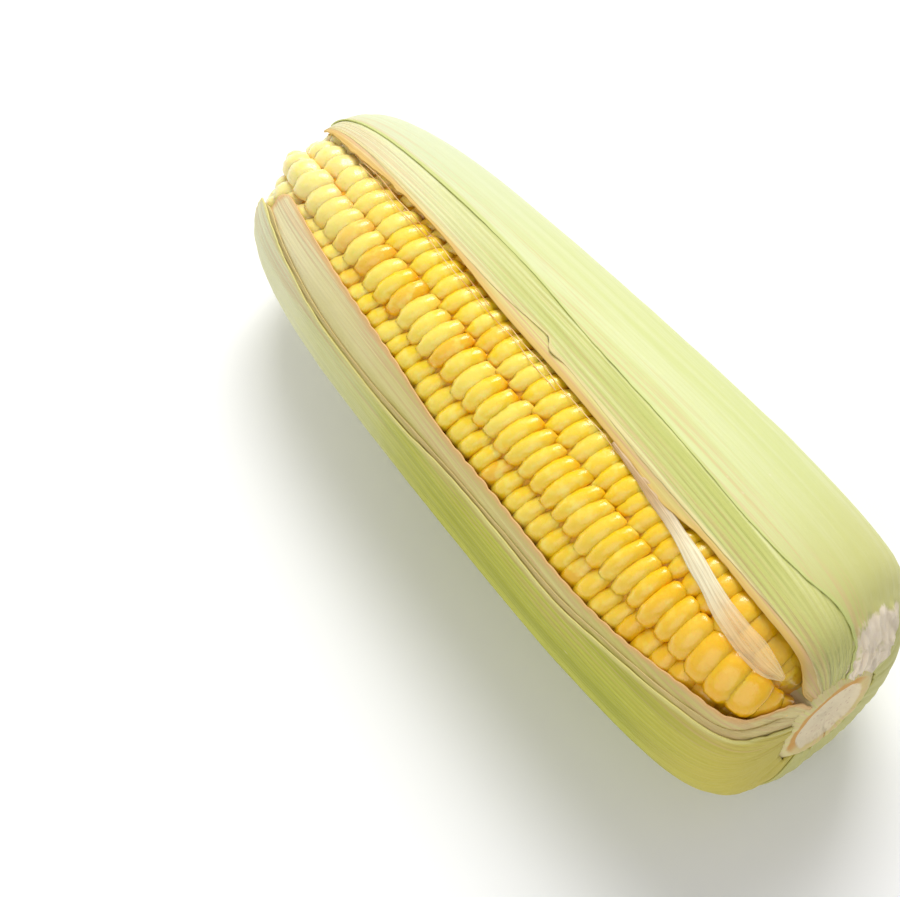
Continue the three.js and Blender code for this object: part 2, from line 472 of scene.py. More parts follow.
@dataclass(frozen=True)
class KernelFinish:
    """Waxy kernels: deep gold painted shade on their low sides and in the furrows, bright crowns whose pale
    middles are partly their own and partly a painted highlight, and a creamier tip.
    """

    # furrow and gold are painted shade: deeper colour on the kernels' low sides, in the furrows between them
    # and on the core.
    furrow: Colour = paint(238, 168, 8)
    gold: Colour = paint(244, 180, 6)
    bright: Colour = paint(254, 214, 34)
    # pale is partly the kernels' own paleness and partly a painted highlight on their crowns.
    pale: Colour = paint(255, 232, 112)
    cream: Colour = paint(255, 240, 168)
    amber: Colour = paint(238, 160, 0)
    deep: Colour = paint(252, 200, 6)
    roughness: float = 0.3

    def build(self) -> bpy.types.Material:
        """Make the kernels' material.

        Returns:
            The material.
        """
        sh = Shader("kernel_skin")
        crown, tone, share = sh.attribute("crown"), sh.attribute("tone"), sh.attribute("share")
        soft = sh.noise(sh.place(), 420.0, 2.0)
        # Painted shade: gold on the kernels' low sides, bright on their crowns.
        body = sh.mix(sh.ramp(crown, 0.3, 0.62), self.gold, self.bright)
        # Pale crown middles: partly the kernels' own paleness, partly a painted highlight.
        body = sh.mix(sh.ramp(crown, 0.75, 1.0, 0.0, 0.4), body, self.pale)
        body = sh.mix(sh.ramp(tone, 0.6, 1.0, 0.0, 0.5), body, self.pale)
        body = sh.mix(sh.ramp(share, 0.55, 0.25, 0.0, 0.6), body, self.deep)
        body = sh.mix(sh.ramp(tone, 0.1, 0.0, 0.0, 0.45), body, self.amber)
        body = sh.mix(sh.ramp(share, 0.3, 0.06, 0.0, 0.4), body, self.amber)
        body = sh.mix(sh.ramp(share, 0.74, 0.98, 0.0, 0.75), body, self.cream)
        # Random pale mottling that also stands in as painted soft highlights.
        pale_mottle_and_highlight = sh.ramp(soft, 0.5, 0.7, 0.0, 0.6) * sh.ramp(share, 0.05, 0.4, 0.2, 1.0)
        body = sh.mix(pale_mottle_and_highlight, body, self.pale)
        # Painted shade: deep gold in the furrows between kernels and on the core, whose crown value is 0.
        body = sh.mix(sh.ramp(crown, 0.26, 0.04), body, self.furrow)
        sh.set("Base Color", body)
        sh.set("Roughness", sh.ramp(soft, 0.2, 0.8, self.roughness - 0.05, self.roughness + 0.09))
        sh.set("Subsurface Weight", 0.35)
        sh.set("Subsurface Radius", (1.0, 0.55, 0.12))
        sh.set("Subsurface Scale", 0.0016)
        sh.set("Specular IOR Level", 0.4)
        sh.set("Coat Weight", 0.6)
        sh.set("Coat Roughness", 0.13)
        sh.bump(sh.noise(sh.place(), 520.0, 3.0) + 0.3 * sh.noise(sh.place(), 2600.0, 2.0), 0.42, 0.0004)
        return sh.material


@dataclass(frozen=True)
class LeafFinish:
    """Fibrous husk leaf: long veins, soft blotches, and a paler or browner margin."""

    name: str
    body: Colour
    streak: Colour
    margin: Colour
    base: Colour
    tip: Colour
    margin_width: float = 1.6 * MM
    vein_depth: float = 0.5
    rib_amount: float = 0.25
    dry: Colour = paint(214, 172, 128)
    dry_amount: float = 0.45
    base_reach: float = 0.26
    knob: Colour = paint(250, 232, 208)
    rib_count: float = 1700.0
    cross_veins: float = 0.0

    def build(self) -> bpy.types.Material:
        """Make the leaf's material.

        Returns:
            The material.
        """
        sh = Shader(self.name)
        along, across = sh.attribute("along"), sh.attribute("across")
        edge, share = sh.attribute("edge"), sh.attribute("share")
        fibre = sh.noise(sh.vector(across * 1500.0, along * 22.0), 1.0, 4.0, 0.6)
        fine = sh.noise(sh.vector(across * 5200.0, along * 60.0, 3.0), 1.0, 2.0)
        broad = sh.noise(sh.vector(across * 260.0, along * 9.0, 7.0), 1.0, 3.0)
        ribs = sh.node(
            "ShaderNodeTexWave",
            {"wave_type": "BANDS", "bands_direction": "X", "wave_profile": "SIN"},
            {
                "Vector": sh.vector(across * self.rib_count, along * 3.0),
                "Scale": 0.16,
                "Distortion": 1.6,
                "Detail": 2.0,
                "Detail Scale": 0.6,
            },
        )
        blotch = sh.noise(sh.place(), 55.0, 3.0)
        colour = sh.mix(sh.ramp(broad, 0.36, 0.66), self.body, self.streak)
        colour = sh.mix(sh.ramp(fibre, 0.5, 0.78, 0.0, 0.55), colour, self.streak)
        colour = sh.mix(sh.ramp(ribs, 0.55, 1.0, 0.0, self.rib_amount), colour, self.streak)
        colour = sh.mix(sh.ramp(fine, 0.56, 0.7, 0.0, 0.5), colour, self.streak)
        tip_mask = sh.ramp(share + 0.25 * blotch, 0.62, 1.1, 0.0, 0.85)
        colour = sh.mix(tip_mask, colour, self.tip)
        base_mask = sh.ramp(share + 0.06 * fibre + 0.1 * blotch, self.base_reach, 0.06)
        colour = sh.mix(base_mask, colour, self.base)
        dry_mask = sh.ramp(fibre + 0.25 * blotch + 10.0 * (0.012 - edge), 0.68, 0.84, 0.0, self.dry_amount)
        near_edge = sh.ramp(edge, 9 * MM, 1 * MM, 0.08, 1.0)
        colour = sh.mix(dry_mask * near_edge, colour, self.dry)
        patchy = sh.noise(sh.place(), 380.0, 3.0)
        wrinkled = sh.attribute("knob") + 1.6 * (patchy - 0.5) + 0.5 * (fibre - 0.5)
        knob_mask = sh.ramp(wrinkled, 0.35, 0.8, 0.0, 0.9)
        colour = sh.mix(knob_mask, colour, self.knob)
        margin_mask = sh.ramp(edge + 0.0022 * (broad - 0.5), self.margin_width, 0.2 * MM, 0.0, 0.9)
        colour = sh.mix(margin_mask, colour, self.margin)
        sh.set("Base Color", colour)
        sh.set("Roughness", sh.ramp(fibre, 0.2, 0.8, 0.5, 0.68))
        sh.set("Subsurface Weight", 0.12)
        sh.set("Subsurface Radius", (1.0, 0.9, 0.35))
        sh.set("Subsurface Scale", 0.001)
        height = 0.55 * fibre + 0.18 * fine + 0.5 * ribs * self.rib_amount
        if self.cross_veins:
            rungs = sh.noise(sh.vector(across * 900.0, along * 1500.0, 5.0), 1.0, 1.0)
            height = height + self.cross_veins * rungs
        sh.bump(height, self.vein_depth, 0.0006)
        return sh.material


@dataclass(frozen=True)
class StemFinish:
    """The cut stem: pinkish-white pith with fibre ends, a tan rim that is partly the dried rim and partly
    painted shade strongest on its upper side, and green leaf bases round it.
    """

    pith: Colour = paint(238, 222, 186)
    fibre: Colour = paint(206, 172, 142)
    # rim is partly the dried rim's own tan and partly painted shade on the dish's wall and lip.
    rim: Colour = paint(214, 160, 76)
    bases: Colour = paint(222, 216, 142)
    flush: Colour = paint(226, 204, 156)
    pith_radius: float = 7.6 * MM
    rim_radius: float = 9.4 * MM

    def build(self) -> bpy.types.Material:
        """Make the stem's material.

        Returns:
            The material.
        """
        sh = Shader("cut_stem")
        reach, turn = sh.attribute("reach"), sh.attribute("turn")
        dots = sh.cells(sh.place(), 800.0)
        mottle = sh.noise(sh.place(), 260.0, 4.0)
        rays = sh.noise(sh.vector(turn * 0.35, reach * 90.0), 1.0, 3.0)
        wavy = reach + 0.0018 * (mottle - 0.5)
        colour = sh.mix(sh.ramp(dots, 0.3, 0.12, 0.0, 0.6), self.pith, self.fibre)
        colour = sh.mix(sh.ramp(mottle, 0.5, 0.8, 0.0, 0.35), colour, self.fibre)
        outer = sh.mix(sh.ramp(rays, 0.35, 0.65), self.bases, self.flush)
        # Painted shade: the rim's tan is strongest on the upper side, where the dish's far wall lies in
        # shade; elsewhere the dried rim's tan is faint.
        upper = sh.ramp((turn - 25.0) * (turn - 25.0), 9000.0, 4200.0, 0.25, 1.0)
        rim = sh.mix(upper, outer, self.rim)
        colour = sh.mix(sh.ramp(wavy, self.pith_radius, self.pith_radius + 0.7 * MM), colour, rim)
        colour = sh.mix(sh.ramp(wavy, self.rim_radius, self.rim_radius + 0.8 * MM), colour, outer)
        sh.set("Base Color", colour)
        sh.set("Roughness", sh.ramp(mottle, 0.3, 0.7, 0.7, 0.85))
        sh.bump(mottle + 0.8 * rays - 0.4 * dots, 0.6, 0.0005)
        return sh.material


@dataclass(frozen=True)
class ShredFinish:
    """Thin torn membrane, pale cream above and peach where it lies on the kernels."""

    cream: Colour = paint(252, 244, 208)
    peach: Colour = paint(252, 226, 166)
    dry: Colour = paint(206, 158, 92)

    def build(self) -> bpy.types.Material:
        """Make the membrane's material.

        Returns:
            The material.
        """
        sh = Shader("torn_membrane")
        along, across, share = sh.attribute("along"), sh.attribute("across"), sh.attribute("share")
        fibre = sh.noise(sh.vector(across * 2200.0, along * 60.0), 1.0, 3.0)
        colour = sh.mix(sh.ramp(share, 0.16, 0.08), self.cream, self.peach)
        colour = sh.mix(sh.ramp(share + 0.08 * fibre, 0.24, 0.34, 0.0, 0.8), colour, self.dry)
        colour = sh.mix(sh.ramp(fibre, 0.5, 0.8, 0.0, 0.3), colour, self.cream)
        sh.set("Base Color", colour)
        lower = sh.ramp(share, 0.17, 0.1, 1.0, 0.55)
        sh.set("Alpha", lower * sh.ramp(fibre, 0.35, 0.65, 0.5, 0.85))
        sh.set("Roughness", 0.4)
        sh.bump(fibre, 0.18, 0.0004)
        return sh.material


@dataclass(frozen=True)
class SilkFinish:
    """Dry silk: peach-orange threads, browner in places."""

    peach: Colour = paint(244, 206, 140)
    brown: Colour = paint(214, 150, 78)

    def build(self) -> bpy.types.Material:
        """Make the silk's material.

        Returns:
            The material.
        """
        sh = Shader("dry_silk")
        patches = sh.noise(sh.place(), 160.0, 2.0)
        sh.set("Base Color", sh.mix(sh.ramp(patches, 0.4, 0.65), self.peach, self.brown))
        sh.set("Roughness", 0.5)
        return sh.material


@dataclass(frozen=True)
class FloorFinish:
    """Plain pale studio floor."""

    tone: Colour = (0.95, 0.95, 0.95)

    def build(self) -> bpy.types.Material:
        """Make the floor's material.

        Returns:
            The material.
        """
        sh = Shader("studio_floor")
        sh.set("Base Color", self.tone)
        sh.set("Roughness", 0.9)
        return sh.material


# ---------------------------------------------------------------- shared making


def keep_mesh(bm: bmesh.types.BMesh, name: str) -> bpy.types.Mesh:
    """Turn a bmesh into a mesh, and free it.

    Args:
        bm: the mesh being worked on.
        name: the new mesh's name.

    Returns:
        The new mesh.
    """
    mesh = bpy.data.meshes.new(name)
    bm.to_mesh(mesh)
    bm.free()
    return mesh


def spin_closed(bm: bmesh.types.BMesh, steps: int) -> None:
    """Spin a chain of edges round the X axis into a closed shell with its faces outwards.

    Args:
        bm: the mesh, which holds only the chain.
        steps: how many faces go round.
    """
    geom = bm.verts[:] + bm.edges[:]
    bmesh.ops.spin(bm, geom=geom, cent=(0, 0, 0), axis=(1, 0, 0), angle=math.tau, steps=steps, use_merge=True)
    bmesh.ops.remove_doubles(bm, verts=bm.verts[:], dist=MERGE)
    bmesh.ops.recalc_face_normals(bm, faces=bm.faces[:])


def round_axis(y: float, z: float) -> tuple[float, float]:
    """Return the distance from the X axis, and the angle round it in degrees."""
    return math.hypot(y, z), math.degrees(math.atan2(-y, z))


def finish_mesh(bm: bmesh.types.BMesh, name: str, material: bpy.types.Material) -> bpy.types.Object:
    """Turn a bmesh into a smooth-shaded object at the origin.

    Args:
        bm: the mesh, in the row frame; it is freed.
        name: the object's name.
        material: its one material.

    Returns:
        The new object.
    """
    mesh = keep_mesh(bm, name)
    mesh.materials.append(material)
    mesh.polygons.foreach_set("use_smooth", [True] * len(mesh.polygons))
    made = bpy.data.objects.new(name, mesh)
    bpy.context.scene.collection.objects.link(made)
    return made


def settle(piece: bpy.types.Object, slot: str, *nodes: str) -> None:
    """Ride a piece on the ear's body in place of its CAD nodes, and report it.

    Args:
        piece: the finished piece.
        slot: not used.
        nodes: the CAD nodes that it stands for.
    """
    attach(piece, "root")
    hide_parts(*nodes)
    LOG.info("%s stands for %s", piece.name, ", ".join(nodes))


# ---------------------------------------------------------------- the ear


@dataclass
class Ear:
    """The cob and its kernels, one piece."""

    outline: Outline
    rows: int = 18
    pitch: float = 3.55 * MM
    base_stretch: float = 0.42
    end_stretch: float = 0.3
    row_line: float = 38.0
    row_lean: float = -14.0
    crown_height: float = 0.45 * MM
    fall_along: float = 0.72 * MM
    fall_across: float = 1.2 * MM
    fall_corner: float = 0.2 * MM
    side: float = 1.9 * MM
    core_depth: float = 1.5 * MM
    core_steps: int = 56
    core_sides: int = 48
    fine_cuts: int = 3
    coarse_cuts: int = 1
    overlap_along: float = 1.14
    overlap_across: float = 1.05
    twist: float = 0.25
    twist_span: Span = (0.06, 0.28)
    dented: float = 0.2
    flattening: float = 0.45
    flat_span: Span = (0.25, 0.05)
    square_span: Span = (0.2, 0.05)
    # What differs from kernel to kernel; depths and lifts are in millimetres.
    dent_depths: Span = (0.35, 0.75)
    slight_depths: Span = (0.0, 0.08)
    squareness: Span = (3.9, 5.4)
    length_play: Span = (0.97, 1.03)
    width_play: Span = (0.93, 1.02)
    lift_play: Span = (-0.25, 0.12)
    lean_play: Span = (-0.09, 0.09)
    twist_play: Span = (0.7, 1.25)
    # Where things change along the ear, and which kernels merge or show.
    base_span: Span = (0.24, 0.04)
    end_span: Span = (0.8, 0.97)
    start_gap: float = 0.4 * MM
    end_gap: float = 1.5 * MM
    pair_radius: float = 9 * MM
    six_radius: float = 4 * MM
    view_middle: float = 24.0
    view_half: float = 42.0
    tip_in_view: float = 0.93
    seed: int = 7

    def build(self) -> bpy.types.Object:
        """Grow the core and every kernel, and dress them.

        Returns:
            The ear.
        """
        bm = bmesh.new()
        layers = [bm.verts.layers.float.new(name) for name in ("crown", "tone", "share")]
        fine, coarse, core = self._template(self.fine_cuts), self._template(self.coarse_cuts), self._core()
        rng = random.Random(self.seed)
        for row in range(self.rows):
            self._row(bm, layers, (fine, coarse), row, rng)
        bm.from_mesh(core)
        for mesh in (fine, coarse, core):
            bpy.data.meshes.remove(mesh)
        piece = finish_mesh(bm, "corn_ear", KernelFinish().build())
        settle(piece, "ear", "ear")
        return piece

    def _core(self) -> bpy.types.Mesh:
        """Spin the cob's surface under the kernels.

        Returns:
            The core's mesh.
        """
        bm = bmesh.new()
        share = bm.verts.layers.float.new("share")
        depth = self.outline.ear_depth + self.core_depth
        full = self.outline.stations[-1].arc
        chain = []
        for i in range(self.core_steps + 1):
            s = self.outline.at(full * i / self.core_steps)
            radius = 0.0 if i in (0, self.core_steps) else max(s.radius - s.out_r * depth, 0.1 * MM)
            chain.append(bm.verts.new((s.x - s.out_x * depth, 0.0, radius)))
        for pair in zip(chain, chain[1:]):
            bm.edges.new(pair)
        spin_closed(bm, self.core_sides)
        for vert in bm.verts:
            x, y, z = vert.co
            vert[share] = self.outline.share(x)
            vert.co = self.outline.lay(x, *round_axis(y, z), depth)
        return keep_mesh(bm, "cob_core")

    def _template(self, cuts: int) -> bpy.types.Mesh:
        """Make the divided cube that kernels are shaped from, open underneath.

        Args:
            cuts: how many cuts go across each face.

        Returns:
            The cube's mesh.
        """
        bm = bmesh.new()
        bmesh.ops.create_cube(bm, size=2.0)
        bmesh.ops.subdivide_edges(bm, edges=bm.edges[:], cuts=cuts, use_grid_fill=True)
        under = [face for face in bm.faces if face.normal.z < -0.5]
        bmesh.ops.delete(bm, geom=under, context="FACES")
        return keep_mesh(bm, "kernel_template")

    def row_angle(self, row: int, share: float) -> float:
        """Return the angle of a row's crest line at a share of the length."""
        return self.row_line + self.row_lean * share + 360 / self.rows * row

    def _row(
        self,
        bm: bmesh.types.BMesh,
        layers: list,
        templates: tuple[bpy.types.Mesh, bpy.types.Mesh],
        row: int,
        rng: random.Random,
    ) -> None:
        """Set the kernels of one row, from the stem to the tip.

        Args:
            bm: the mesh to add to.
            layers: the crown, tone and share layers.
            templates: the cubes for open and for hidden kernels.
            row: the row's number.
            rng: the source of the kernels' differences.
        """
        full = self.outline.stations[-1].arc
        arc = self.outline.arc_where(True, self.outline.stem_radius + self.start_gap)
        arc += self.pitch * (0.5 * (row % 2) + rng.uniform(-0.12, 0.12))
        while arc < full - self.end_gap:
            station = self.outline.at(arc)
            share = self.outline.share(station.x)
            line = self.row_angle(row, share)
            radius = max(station.radius - station.out_r * self.outline.crown_depth(share, line), 0.3 * MM)
            stretch = 1 + self.base_stretch * ease(share, *self.base_span)
            stretch += self.end_stretch * ease(share, *self.end_span)
            length = self.pitch * stretch * rng.uniform(0.93, 1.07)
            merge = 1 if radius > self.pair_radius else (2 if radius > self.six_radius else 6)
            if row % merge == 0:
                angle = line + (180 / self.rows) * (merge - 1) + rng.uniform(-0.8, 0.8)
                width = radius * math.radians(360 / self.rows * merge)
                off_middle = abs((angle + 180) % 360 - 180 - self.view_middle)
                open_to_view = off_middle < self.view_half or share > self.tip_in_view
                template = templates[0] if open_to_view else templates[1]
                self._kernel(bm, layers, template, (arc, angle, share), (length, width), rng)
            arc += length

    def _kernel(
        self,
        bm: bmesh.types.BMesh,
        layers: list,
        template: bpy.types.Mesh,
        place: tuple[float, float, float],
        size: tuple[float, float],
        rng: random.Random,
    ) -> None:
        """Shape one kernel and set it in the ear.

        Args:
            bm: the mesh to add to.
            layers: the crown, tone and share layers.
            template: the cube to shape.
            place: distance along the outline, angle and share of the length.
            size: length along the row and width across it.
            rng: the source of the kernel's own differences.
        """
        arc, angle, share = place
        depth = self.outline.crown_depth(share, angle)
        centre = self.outline.point(arc, angle, depth)
        ahead = self.outline.point(arc + 0.5 * MM, angle, depth)
        out = (centre - self.outline.point(arc, angle, depth + 1 * MM)).normalized()
        along = (ahead - self.outline.point(arc - 0.5 * MM, angle, depth)).normalized()
        across = out.cross(along).normalized()
        half_length = 0.5 * size[0] * self.overlap_along * rng.uniform(*self.length_play)
        half_width = 0.5 * size[1] * self.overlap_across * rng.uniform(*self.width_play)
        square = rng.uniform(*self.squareness) + ease(share, *self.square_span)
        lift = rng.uniform(*self.lift_play) * MM
        lean = rng.uniform(*self.lean_play)
        turn = self.twist * rng.uniform(*self.twist_play) * ease(share, *self.twist_span)
        flat = 1 - self.flattening * ease(share, *self.flat_span)
        depths = self.dent_depths if rng.random() < self.dented else self.slight_depths
        dent = rng.uniform(*depths) * MM
        dent_p, dent_q = rng.uniform(-0.35, 0.35), rng.uniform(-0.45, 0.45)
        tone, grain = rng.random(), rng.uniform(0, 50)
        start = len(bm.verts)
        bm.from_mesh(template)
        bm.verts.ensure_lookup_table()
        for i in range(start, len(bm.verts)):
            vert = bm.verts[i]
            p, q, r = vert.co
            reach = max(abs(p), abs(q))
            rounded = (abs(p) ** square + abs(q) ** square) ** (1 / square) or 1.0
            plan = reach / rounded
            if r > 0.99:
                fall = self.fall_along * abs(p) ** 2.1 + self.fall_across * abs(q) ** 2.2
                height = self.crown_height - flat * fall
                height -= self.fall_corner * (p * q) ** 2
                height -= dent * math.exp(-(((p - dent_p) / 0.5) ** 2) - ((q - dent_q) / 0.4) ** 2)
                height += 0.07 * MM * wander(p * 1.6, q * 2.2, grain)
                plan *= 1 - 0.12 * reach**4
                crown = 1 - 0.55 * reach**4
            else:
                sink = 0.5 * (1 - r)
                height = self.crown_height - flat * (self.fall_along * p * p + self.fall_across * q * q)
                height -= self.fall_corner * (p * q) ** 2 + self.side * sink**0.9
                plan *= 1 - 0.1 * max(sink - 0.5, 0.0)
                crown = 0.35 * (1 - sink)
            # crown feeds the kernel material's painted shade on low sides and its painted highlight on crown
            # middles.
            vert[layers[0]] = crown
            vert[layers[1]] = tone
            vert[layers[2]] = share
            vert.co = (
                centre
                + along * (p * half_length + turn * q * half_width) * plan
                + across * (q * half_width * plan)
                + out * (height + lift + lean * p * half_length)
            )


# ---------------------------------------------------------------- the husk


class Opening(Enum):
    """Which of a leaf's two edges borders the opening."""

    LOW = "low"
    HIGH = "high"


@dataclass
class Leaf:
    """One husk leaf, wrapped round the ear from the stem to the trimmed tip."""

    outline: Outline
    name: str
    finish: LeafFinish
    low: Stops
    high: Stops
    opening: Opening
    layer: Stops = ((-360.0, 0.0), (360.0, 0.0))
    tip_share: float = 0.975
    tip_round: float = 5 * MM
    tip_ragged: float = 1.2 * MM
    curl: float = -0.1 * MM
    curl_reach: float = 2.5 * MM
    ripple: float = 0.1 * MM
    fold: float = 0.22 * MM
    base_sweep: float = 0.0
    fringe: Stops = ((0.0, 1.0), (1.0, 1.0))
    lip: Stops = ((0.0, 1.0), (1.0, 1.0))
    notch: Stops = ((0.0, 0.0), (1.0, 0.0))
    scallop: float = 0.0
    rough_reach: float = 1.5 * MM
    far_press: float = 0.3 * MM
    thickness: float = 0.3 * MM
    seed: float = 0.0
    along_steps: int = 190
    angle_step: float = 2.0
    start_radius: float = 10.4 * MM
    start_ragged: float = 0.8 * MM
    crowding: float = 1.5
    scallop_pitch: float = 3.6 * MM
    base_pleat: float = 0.35 * MM
    knob_rise: float = 0.4 * MM
    knob_wrinkle: float = 1.5 * MM
    tip_arc: float = 0.0

    def build(self) -> bpy.types.Object:
        """Wrap the sheet, thicken it and dress it.

        Returns:
            The leaf.
        """
        wrap = self.high[0][1] - self.low[0][1]
        mean_width = math.radians(wrap) * self.outline.belly
        columns = max(8, round(wrap / self.angle_step))
        bm = bmesh.new()
        names = ("along", "across", "edge", "share", "knob")
        layers = [bm.verts.layers.float.new(name) for name in names]
        bmesh.ops.create_grid(bm, x_segments=self.along_steps, y_segments=columns, size=0.5)
        start = self.outline.arc_where(True, self.start_radius)
        self.tip_arc = self.outline.arc_at_share(self.tip_share)
        for vert in bm.verts:
            u, v = vert.co.x + 0.5, vert.co.y + 0.5
            v = self._crowd(v)
            end = self._tip_arc(v, mean_width)
            ragged = self.start_ragged * (1 + wander(v * mean_width * 260, self.seed * 3, 4.0))
            arc = start + ragged + (end - start - ragged) * u
            spot = self.outline.at(arc)
            share = self.outline.share(spot.x)
            low, high = self._edges(share, spot.radius)
            angle = low + (high - low) * v
            gap = self._from_opening(v) * math.radians(high - low) * spot.radius
            angle += self._rough(share, arc) * math.exp(-gap / self.rough_reach)
            far_gap = math.radians(high - low) * spot.radius - gap
            depth = self._depth(angle, arc, gap, share)
            depth += self.far_press * math.exp(-far_gap / self.rough_reach)
            vert.co = self.outline.point(arc, angle, depth)
            vert[layers[0]] = arc
            vert[layers[1]] = math.radians(angle - self._drift(share)) * self.outline.belly + self.seed
            vert[layers[2]] = min(gap, (end - arc) * 0.8)
            vert[layers[3]] = share
            vert[layers[4]] = self.outline.knob(spot.x, angle)
        bmesh.ops.recalc_face_normals(bm, faces=bm.faces[:])
        self._face_outwards(bm)
        piece = finish_mesh(bm, self.name + "_leaf", self.finish.build())
        wall = piece.modifiers.new("thickness", "SOLIDIFY")
        wall.thickness = self.thickness
        wall.offset = -1.0
        settle(piece, self.name, self.name)
        return piece

    def _from_opening(self, v: float) -> float:
        """Return a column's place across the leaf, counted from the edge at the opening."""
        return v if self.opening is Opening.LOW else 1 - v

    def _crowd(self, v: float) -> float:
        """Return a column's place, crowded towards the edge that borders the opening."""
        return self._from_opening(self._from_opening(v) ** self.crowding)

    def _face_outwards(self, bm: bmesh.types.BMesh) -> None:
        """Turn the sheet's faces away from the ear's axis if they point at it.

        Args:
            bm: the sheet.
        """
        bm.faces.ensure_lookup_table()
        face = bm.faces[len(bm.faces) // 2]
        axis = Vector((face.calc_center_median().x, 0.0, self.outline.axis_height))
        if face.normal.dot(face.calc_center_median() - axis) < 0:
            bmesh.ops.reverse_faces(bm, faces=bm.faces[:])

    def _drift(self, share: float) -> float:
        """Return the angle that the leaf's veins follow, from the stem to the tip."""
        edge = self.low if self.opening is Opening.LOW else self.high
        return edge[0][1] + (edge[-1][1] - edge[0][1]) * share

    def _rough(self, share: float, arc: float) -> float:
        """Find how far the edge at the opening strays from its smooth line.

        Args:
            share: how far along the ear, from the stem to the tip.
            arc: distance along the outline.

        Returns:
            The stray, in degrees.
        """
        rough = 0.4 * wander(arc * 60, self.seed * 31) + 0.2 * wander(arc * 420, self.seed * 17)
        rough *= through(self.fringe, share)
        wave = abs(math.sin(math.pi * arc / self.scallop_pitch))
        rough += self.scallop * (0.6 + wander(arc * 50, 7.0)) * wave
        return rough + through(self.notch, share)

    def _edges(self, share: float, radius: float) -> tuple[float, float]:
        """Find the leaf's two edges.

        Args:
            share: how far along the ear, from the stem to the tip.
            radius: the outline's radius there.

        Returns:
            The low and the high edge's angle.
        """
        closing = self.base_sweep * ease(radius, 0.9 * self.outline.belly, 1.25 * self.outline.stem_radius)
        closing *= ease(share, 0.1, 0.05)
        low, high = through(self.low, share), through(self.high, share)
        if self.opening is Opening.LOW:
            return low - closing, high
        return low, high + closing

    def _tip_arc(self, v: float, width: float) -> float:
        """Find where the trimmed tip of the leaf ends at one column.

        Args:
            v: place across the leaf, 0 to 1.
            width: the leaf's width at the belly.

        Returns:
            The distance along the outline.
        """
        gap = self._from_opening(v) * width
        rounding = self.tip_round * (1 - math.sqrt(clamp(1 - (1 - clamp(gap / self.tip_round)) ** 2)))
        ragged = self.tip_ragged * wander(v * width * 140, self.seed * 7, 2.0)
        return self.tip_arc - rounding + ragged

    def _depth(self, angle: float, arc: float, gap: float, share: float) -> float:
        """Work out how deep the leaf's outer face lies.

        Args:
            angle: degrees round the ear.
            arc: distance along the outline.
            gap: distance from the edge that borders the opening.
            share: how far along the ear.

        Returns:
            The depth under the outline.
        """
        layer = through(self.layer, angle) * self.outline.layer_pitch
        lifted = self.curl * math.exp(-gap / self.curl_reach) * (0.6 + 0.8 * wander(arc * 45, self.seed * 11))
        lifted *= through(self.lip, share)
        fold = self.fold * wander(angle * 0.22, arc * 9)
        ripple = self.ripple * wander(angle * 0.9, arc * 22, self.seed + 5) * clamp(1 - layer / (1 * MM))
        base = self.base_pleat * ease(share, 0.08, 0.0) * wander(angle * 0.6, arc * 40, 9.0)
        knob = self.outline.knob(self.outline.at(arc).x, angle)
        knob *= self.knob_rise + self.knob_wrinkle * wander(angle * 0.3, arc * 420, 3.0)
        return layer - lifted - (fold + ripple + base + knob)


